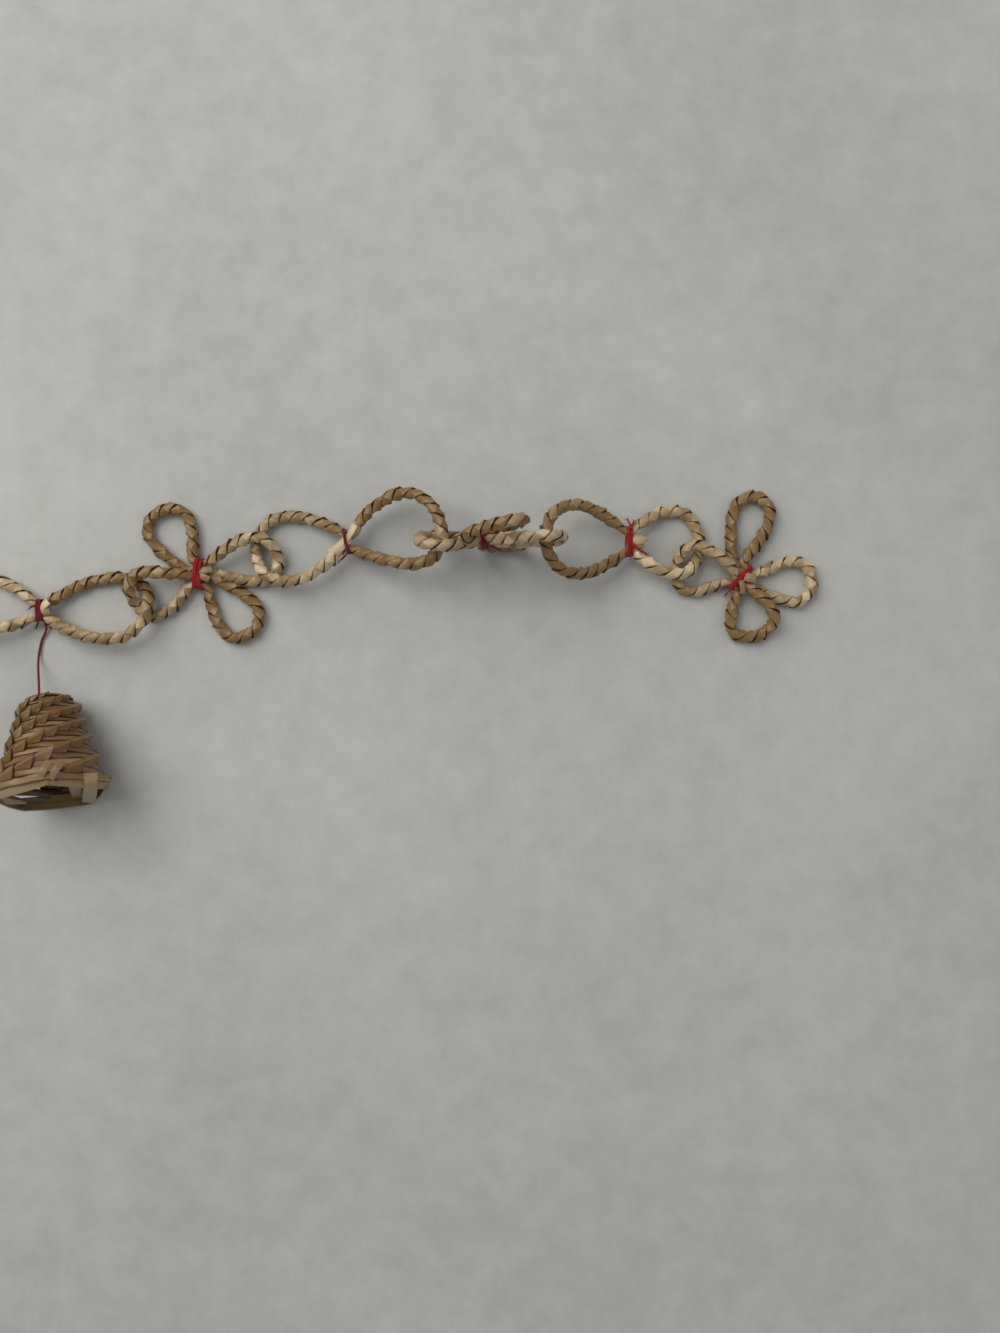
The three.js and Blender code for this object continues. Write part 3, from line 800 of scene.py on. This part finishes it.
def bindings():
    binding("left_end_cross", 4, 1.8, BRIGHT,
            [[(2.0, -1.5, TOP), (3.3, -3.2, 1.2), (4.3, -4.6, -0.6)]], 61)
    binding("bell_link", 4, 1.5, DARK,
            [[(0.4, -1.8, TOP), (-0.6, -3.6, 0.6), (-2.1, -5.0, -1.6)],
             [(0.8, -2.6, 0.8), (1.6, -4.0, -0.6), (1.9, -5.0, -2.0)],
             [(-0.6, 1.2, TOP), (-1.8, 0.9, TOP), (-2.9, 0.4, 1.2)]], 62)
    binding("left_cross", 6, 2.7, BRIGHT,
            [[(0.8, -3.4, TOP), (1.4, -4.2, 1.5), (1.7, -4.9, 0.4)]], 63)
    binding("left_link", 2, 0.5, DARK,
            [[(0.7, -2.2, TOP + 0.1), (0.3, -3.6, 1.2), (-2.0, -5.6, -0.6)]], 64, tilt=0.24)
    binding("middle_cross", 4, 1.6, DARK,
            [[(-0.8, 1.6, 3.9), (-3.2, 2.6, 3.8), (-5.3, 2.1, 3.7), (-7.7, 0.5, 4.6)],
             [(0.4, -1.2, 4.2), (2.2, -2.0, 3.2), (4.4, -2.9, 2.0)]], 65)
    binding("right_link", 4, 1.7, BRIGHT,
            [[(0.2, 3.6, TOP), (0.0, 4.8, 1.7), (-0.5, 6.0, 1.2)],
             [(0.4, 3.4, TOP), (0.6, 4.6, 1.8), (1.1, 5.6, 1.4)],
             [(0.5, -0.6, TOP + 0.5), (1.9, -2.2, TOP + 0.9), (4.5, -3.7, 1.9)]], 66)
    binding("right_end_cross", 4, 1.3, BRIGHT,
            [[(-2.0, -2.0, TOP), (-3.1, -3.3, 0.8), (-4.0, -4.7, -1.0)],
             [(0.6, 0.4, TOP + 0.3), (1.5, 0.1, TOP + 0.4), (2.2, -0.3, TOP)]], 67)


# ---------------------------------------------------------------- the bell
SIDE = 360 / BELL["corners"]      # degrees from one corner to the next
ROUND_TURN = BELL["round_turn"]   # degrees the corners wind in each round of the plait
CORNER_ROUND = 5.0     # over how many degrees a corner is rounded
CROWN_SHARE = 0.16     # of the height, over which the crown rounds over
FLARE = 1.25           # 1 widens the bell evenly, more widens it towards the mouth
WALL_POINTS = 500      # down the wall, set closer at the crown
CROWN_POINTS = 200     # of them, on the crown
RIM_PITCH = 2.6        # of the winding past the mouth
RIM_CORNER = 70.0      # where the strips round the mouth cross
LYING = 0.00002        # the plait's lowest point, in metres


def bell_radius(z):
    """The radius before the sides are flattened, at a depth from the crown."""
    share = np.clip(z / BELL["height"], 0, 1)
    dome = np.sqrt(np.maximum(0, 1 - (1 - np.minimum(1, share / CROWN_SHARE)) ** 2))
    return (BELL["crown_radius"] + (BELL["mouth_radius"] - BELL["crown_radius"]) * share ** FLARE) * dome


# distance down the wall, from the middle of the crown, against height and radius
WALL_Z = np.linspace(0, 1, WALL_POINTS) ** 2 * BELL["height"]
WALL_R = bell_radius(WALL_Z)
WALL_S = np.concatenate([[0], np.cumsum(np.hypot(np.diff(WALL_Z), np.diff(WALL_R)))])
WALL_SLOPE = np.clip(np.gradient(WALL_R, WALL_S), 0, 1)
WALL = float(WALL_S[-1])


def round_pitch(s):
    """How far down the wall a round of the plait takes."""
    return max(1.3, 0.06 * (s + 7))


ROUNDS = [WALL]
while ROUNDS[-1] > 0.8:
    ROUNDS.append(ROUNDS[-1] - round_pitch(ROUNDS[-1]))
WIND_S = np.array(ROUNDS[::-1])
WIND = BELL["mouth_corner"] - ROUND_TURN * np.arange(len(ROUNDS))[::-1]


def corner_angle(s):
    """Where a corner is, at a distance down the wall, in degrees up from the right."""
    return np.interp(s, WIND_S, WIND) + np.maximum(0, s - WALL) / RIM_PITCH * ROUND_TURN


def on_wall(s, degrees, lift):
    """A point on the five-sided bell: a distance down the wall, an angle up from the right, and how far
    off the wall."""
    s, degrees, lift = np.broadcast_arrays(np.asarray(s, float), degrees, lift)
    z = np.interp(s, WALL_S, WALL_Z) + np.maximum(0, s - WALL)
    radius = np.interp(s, WALL_S, WALL_R)
    slope = np.interp(s, WALL_S, WALL_SLOPE)
    across = np.mod(degrees - corner_angle(s), SIDE) - SIDE / 2
    from_corner = np.hypot(SIDE / 2 - np.abs(across), CORNER_ROUND)
    flat = math.cos(math.radians(SIDE / 2)) / np.cos(np.radians(SIDE / 2 - from_corner))
    rr = radius * flat ** BELL["straightness"] + lift * np.sqrt(1 - slope ** 2)
    a = np.radians(degrees)
    return in_bell(rr * np.cos(a), rr * np.sin(a), z - lift * slope)


def bell_bars(build):
    """The straight runs of each round, from corner to corner: flat bars with rounded edges, their ends
    tucked in under the folds."""
    n, m = 26, 12  # points along a bar and round it
    around = np.linspace(0, 2 * math.pi, m, endpoint=False)
    across = np.sign(np.cos(around)) * np.abs(np.cos(around)) ** 0.6
    bulge = np.sign(np.sin(around)) * np.abs(np.sin(around)) ** 0.7
    run = np.linspace(-5, SIDE + 5, n)
    tuck = 0.25 * smooth(np.abs(run - SIDE / 2), SIDE / 2 - 4, SIDE / 2 + 4)
    for edge in ROUNDS[:-1]:
        pitch = round_pitch(edge)
        middle = edge - pitch / 2
        if middle < 1.6:
            continue
        near_mouth = max(0, (middle / WALL - 0.72) / 0.28)
        for c in range(BELL["corners"]):
            width = pitch * 0.5 * rng.uniform(0.82, 0.96)
            thick = 0.40 * rng.uniform(0.8, 1.2)
            sag = 0.14 * pitch * noise_line(n, 1, 9, int(rng.integers(1e6)))
            drift = rng.uniform(-0.12, 0.12) * np.linspace(-1, 1, n)
            s = np.clip(middle + (sag + drift)[:, None] + across[None] * width, 0.05, None)
            degrees = corner_angle(middle) + SIDE * c + run[:, None]
            lift = bulge[None] * thick + rng.uniform(-0.10, 0.10) * across[None] - tuck[:, None]
            tone = np.ones((n, m, 4))
            tone[..., 0] = rng.uniform(-0.11, 0.10)
            # painted shade on the bar's edges and on its side towards the bell
            tone[..., 1] = np.maximum(np.abs(across[None]) ** 5 * 0.85, 0.62 * (bulge[None] < 0.1))
            tone[..., 2] = (max(0, rng.uniform(-0.5, 0.2)) + 0.16 * near_mouth) * (1 - tone[..., 1])
            uv = np.zeros((n, m, 2))
            uv[..., 0] = across[None] * width + rng.uniform(0, 90)
            uv[..., 1] = run[:, None] * 0.25 + rng.uniform(0, 50)
            build.add(on_wall(s, degrees, lift), tube_faces(n, m), uv, tone)


def bell_folds(build):
    """The strips folded over the corners. Each fold's right edge stands proud, over the left edge of
    the fold above it."""
    n, m = 18, 13  # points across a fold, from its tucked edge, and down it
    a, b = np.meshgrid(np.linspace(0, 1, n), np.linspace(0, 1, m), indexing="ij")
    dome = 0.5 * (1 - (2 * b - 1) ** 2) * (1 - 0.35 * a)
    # painted shade: dark along the tucked edge, where the proud edge of the next fold overlaps it, and
    # towards the top, bottom and proud edges
    crease = np.maximum(1 - smooth(a, 0.0, 0.2), 0.8 * np.maximum(np.abs(2 * b - 1) ** 9, a ** 24))
    for k, edge in enumerate(ROUNDS):
        middle = edge - round_pitch(edge) * 0.6
        if middle < 5 or k == 0:
            continue
        radius = float(np.interp(middle, WALL_S, WALL_R))
        wide = radius * math.radians(ROUND_TURN) + 0.9
        tall = 3.5 + 1.2 * smooth(middle, 10, 32)
        for c in range(BELL["corners"]):
            jig = rng.uniform(-1, 1, 6)
            x = (a - 0.52) * (wide + 0.5 * jig[0]) + (1.1 * a + 0.35) * (0.5 - b) - 0.5 * a * (2 * b - 1) ** 2
            upper = -tall * (0.08 + 0.44 * a) + 0.2 * jig[1] * (a - 0.5)
            lower = tall * (0.48 - 0.03 * a) + 0.15 * jig[2] * (a - 0.5)
            y = upper + (lower - upper) * b
            lift = 0.36 + 0.52 * a ** 1.4 + dome + 0.22 * jig[3] * a * (b - 0.5)
            lift = lift - 0.25 * (1 - smooth(a, 0, 0.25))
            degrees = corner_angle(middle) + SIDE * c - np.degrees(x / radius)
            outer = on_wall(middle + y, degrees, lift)
            inner = on_wall(middle + y * 0.97, degrees + 0.02 * (a - 0.5) * wide,
                            np.minimum(lift - 0.30, 0.42))
            tone = np.ones((n, m, 4))
            # random tint, with painted shade darkening the fold towards its tucked edge; paler towards its
            # proud edge
            tone[..., 0] = rng.uniform(-0.08, 0.15) + 0.16 * (a - 0.6)
            tone[..., 1] = crease
            tone[..., 2] = max(0, rng.uniform(-0.6, 0.25)) * a
            # the inside and the side walls painted as if in full shade
            under = tone.copy()
            under[..., 1] = 1.0
            solid_sheet(build, outer, inner, tone, under, np.stack([y + 5 * k, x + 7 * c], -1))


def mouth(degrees, radius, z):
    """A point near the mouth, at an angle, a radius and a depth from the crown."""
    a = np.radians(degrees)
    return in_bell(radius * np.cos(a), radius * np.sin(a), z)


def rim_layer(build, layer, radius, z, width, pale):
    """Flat strips round the mouth from corner to corner, crossing past each other."""
    axis = bell_axes()[2]
    n = 22
    bend = 0.5 * np.sin(np.linspace(0, math.pi, n))[:, None]
    for c in range(BELL["corners"]):
        a, b = (mouth(RIM_CORNER + SIDE * corner, radius, z + 0.25 * rng.uniform(-1, 1))
                for corner in (c, c + 1))
        line = straight(a, b, n, 0.15)
        outward = unit(line - mouth(0, 0, z)) + axis * (0.55 if layer else 0.0)
        ribbon(build, line + unit(outward) * (bend + 0.28 * (c % 2)), outward, width, 0.36,
               tint=rng.uniform(-0.02, 0.10), pale=pale, dome=0.10, seed=c + 7 * layer)


def bell_rim(build):
    """Two layers of strips round the mouth, and the strip ends folded over them and across the mouth."""
    high = BELL["height"]
    axis = bell_axes()[2]
    rim_layer(build, 0, 15.8, high - 1.3, 2.5, 0.10)
    rim_layer(build, 1, 15.6, high + 0.1, 2.9, 0.28)
    # folded over the upper right side and hanging across the mouth to the lower lip
    start, end = mouth(22, 14.5, high + 0.9), mouth(-69, 13.5, high + 1)
    line = centripetal([mouth(26, 15.9, high - 2.0), start, (start + end) / 2 + axis * 0.4, end], 24)
    ribbon(build, line, axis + UP * 0.2, 3.7, 0.34, tint=0.10, pale=0.28, dome=0.15, seed=31)
    # one beside it, inside both lips
    start, end = mouth(40, 12.9, high - 1.2), mouth(-85, 13.5, high - 1.2)
    line = centripetal([start, (start + end) / 2 + axis * 0.2, end], 20)
    ribbon(build, line, axis + UP * 0.3, 3.4, pale=0.26, dome=0.1, seed=32)
    # one from the left corner down over the lower lip, cut to a point
    line = centripetal([mouth(146, 14.6, high + 0.3), mouth(160, 12.6, high + 0.7),
                        mouth(-170, 8.6, high + 0.9)], 20)
    ribbon(build, line, axis * 0.6 + UP * 0.8, 3.6, tint=0.04, pale=0.22, dome=0.15,
           shape=narrowing(0.75, 0.45), seed=33)
    # two short ends crossed at the top corner
    for a0, a1, tint in ((76, 66, 0.02), (66, 55, 0.12)):
        line = centripetal([mouth(a0, 15.6, high - 0.2), mouth((a0 + a1) / 2, 17.1, high - 2.6),
                            mouth(a1, 15.9, high - 5.0)], 14)
        ribbon(build, line, unit(line - mouth(0, 0, high - 3)), 1.9, tint=tint, pale=0.15, seed=35 + a0)


def bell_crown(build):
    """Strips crossed over the middle of the crown, each lying on the one before."""
    x = np.linspace(-6.2, 6.2, 16)
    aside = 0.9
    for k in range(5):
        a = math.radians(36 * k + 11)
        z = np.interp(np.abs(x), WALL_R[:CROWN_POINTS], WALL_Z[:CROWN_POINTS]) - 0.2 - 0.12 * k
        points = in_bell(x * math.cos(a) - aside * math.sin(a), x * math.sin(a) + aside * math.cos(a), z)
        ribbon(build, points, -bell_axes()[2], 3.2, 0.35, tint=rng.uniform(-0.08, 0.1), seed=40 + k)


def bell():
    build = Build()
    bell_bars(build)
    bell_crown(build)
    runs = build.object("bell_plait_runs", PLAIT)
    build = Build()
    bell_folds(build)
    folded = build.object("bell_plait_folds", PLAIT, 28)
    build = Build()
    bell_rim(build)
    rim = build.object("bell_plait_rim", PLAIT, 28)
    for obj in (runs, folded, rim):
        for v in obj.data.vertices:
            v.co.z = max(v.co.z, LYING)
        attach(obj, "root")
    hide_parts("bell")


# ---------------------------------------------------------------- the cut ends beside the bindings
# link, points from its waist's middle, direction faced, width, how pale, shape, and seed of its grain
CUT_ENDS = (
    ("bell_link", [(1.0, 0.4, 1.6), (2.0, 1.3, 2.4), (3.3, 2.5, 2.4)], (-0.3, 0.3, 1), 2.5, 0.8, None, 1),
    ("bell_link", [(1.0, -0.6, 1.4), (2.2, -0.7, 1.9), (3.4, -0.5, 1.7)], (0, -0.5, 1), 2.2, 0.4, None, 2),
    ("left_link", [(0.3, 0.6, 0.8), (1.7, 2.4, 2.4), (2.9, 4.7, 2.7)], (-0.5, 0.4, 1), 2.5, 0.8, None, 3),
    ("left_link", [(1.4, 1.0, 0.8), (3.1, 2.2, 2.0), (4.2, 4.0, 2.2)], (0.9, -0.3, 1), 2.0, 0.4, None, 4),
    ("left_link", [(2.2, 3.8, 1.6), (3.0, 4.6, 1.7), (3.6, 5.3, 1.6)], (0.2, 0.2, 1), 2.2, 0.2, None, 12),
    ("left_link", [(-4.6, -3.6, 0.7), (-1.8, -1.8, 1.3), (0.6, 0.7, 1.0)], (-0.2, 0, 1), 2.9, 0.6, None, 13),
    ("right_link", [(0.9, 0.3, 1.7), (3.0, 0.3, 2.4), (5.2, 0.4, 2.5)], (0, 0.2, 1), 2.8, 0.35,
     narrowing(0.8, 0.6), 5),
    ("right_link", [(0.9, -0.9, 1.6), (2.6, -1.2, 2.0), (4.2, -1.9, 2.0)], (0, -0.2, 1), 2.2, 0.2,
     narrowing(0.6, 0.6), 6),
    ("right_end_cross", [(0.8, 0.2, 1.9), (2.2, -0.2, 2.5), (3.8, -0.5, 2.3)], (0, 0, 1), 2.6, 0.2, None, 7),
    ("right_end_cross", [(-0.4, -1.0, 1.8), (0.1, -2.6, 2.1), (0.2, -4.8, 1.8)], (0, 0, 1), 1.7, 0.1,
     None, 8),
    ("left_cross", [(0.9, 0.6, 1.8), (2.6, 0.9, 2.3), (4.4, 1.2, 1.9)], (0, 0.4, 1), 2.2, 0.15, None, 9),
    ("left_cross", [(0.9, -0.8, 1.8), (2.2, -1.2, 2.2), (3.6, -1.9, 1.8)], (0, -0.3, 1), 2.0, 0.2, None, 10),
    ("left_end_cross", [(-0.8, 0.2, 1.9), (-2.2, -0.2, 2.5), (-3.6, -0.5, 2.3)], (0, 0, 1), 2.6, 0.3,
     None, 11),
)


def cut_ends():
    build = Build()
    for link, points, normal, width, pale, shape, seed in CUT_ENDS:
        line = centripetal([waist_middle(LINKS[link]) + point for point in points], 14)
        ribbon(build, line, normal, width, 0.34, tint=0.05, pale=pale, dome=0.35, shape=shape, seed=seed)
    obj = build.object("cut_straw_ends", PLAIT)
    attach(obj, "root")


# ---------------------------------------------------------------- floor and light
def stage():
    mesh = bpy.data.meshes.new("floor")
    mesh.from_pydata([(-3, -3, 0), (3, -3, 0), (3, 3, 0), (-3, 3, 0)], [], [(0, 1, 2, 3)])
    mesh.materials.append(sheet_material())
    floor = bpy.data.objects.new("floor", mesh)
    bpy.context.collection.objects.link(floor)


def area_light(name, location, size, power, colour):
    """A square light that faces the middle of the sheet."""
    data = bpy.data.lights.new(name, "AREA")
    data.shape = "SQUARE"
    data.size = size
    data.energy = power
    data.color = colour
    light = bpy.data.objects.new(name, data)
    light.location = location
    x, y, z = location
    light.rotation_euler = (math.acos(z / math.hypot(x, y, z)), 0, math.atan2(-y, -x) - math.pi / 2)
    bpy.context.collection.objects.link(light)


def ambient(colour, strength):
    world = bpy.data.worlds.new("world")
    bpy.context.scene.world = world
    world.use_nodes = True
    background = world.node_tree.nodes["Background"]
    background.inputs["Color"].default_value = (*colour, 1)
    background.inputs["Strength"].default_value = strength


aim_camera(0.300)
bell_cord()
for number, name in enumerate(LINKS, 1):
    link_rope(name, number)
bindings()
bell()
cut_ends()
stage()
area_light("window", (-0.55, 0.50, 0.75), 0.95, 8.7, (1.0, 0.985, 0.94))
area_light("fill", (1.0, 0.1, 1.1), 1.5, 3.2, (0.93, 0.97, 1.0))
ambient((0.97, 0.98, 0.98), 0.26)
bpy.context.scene.view_settings.view_transform = "Standard"
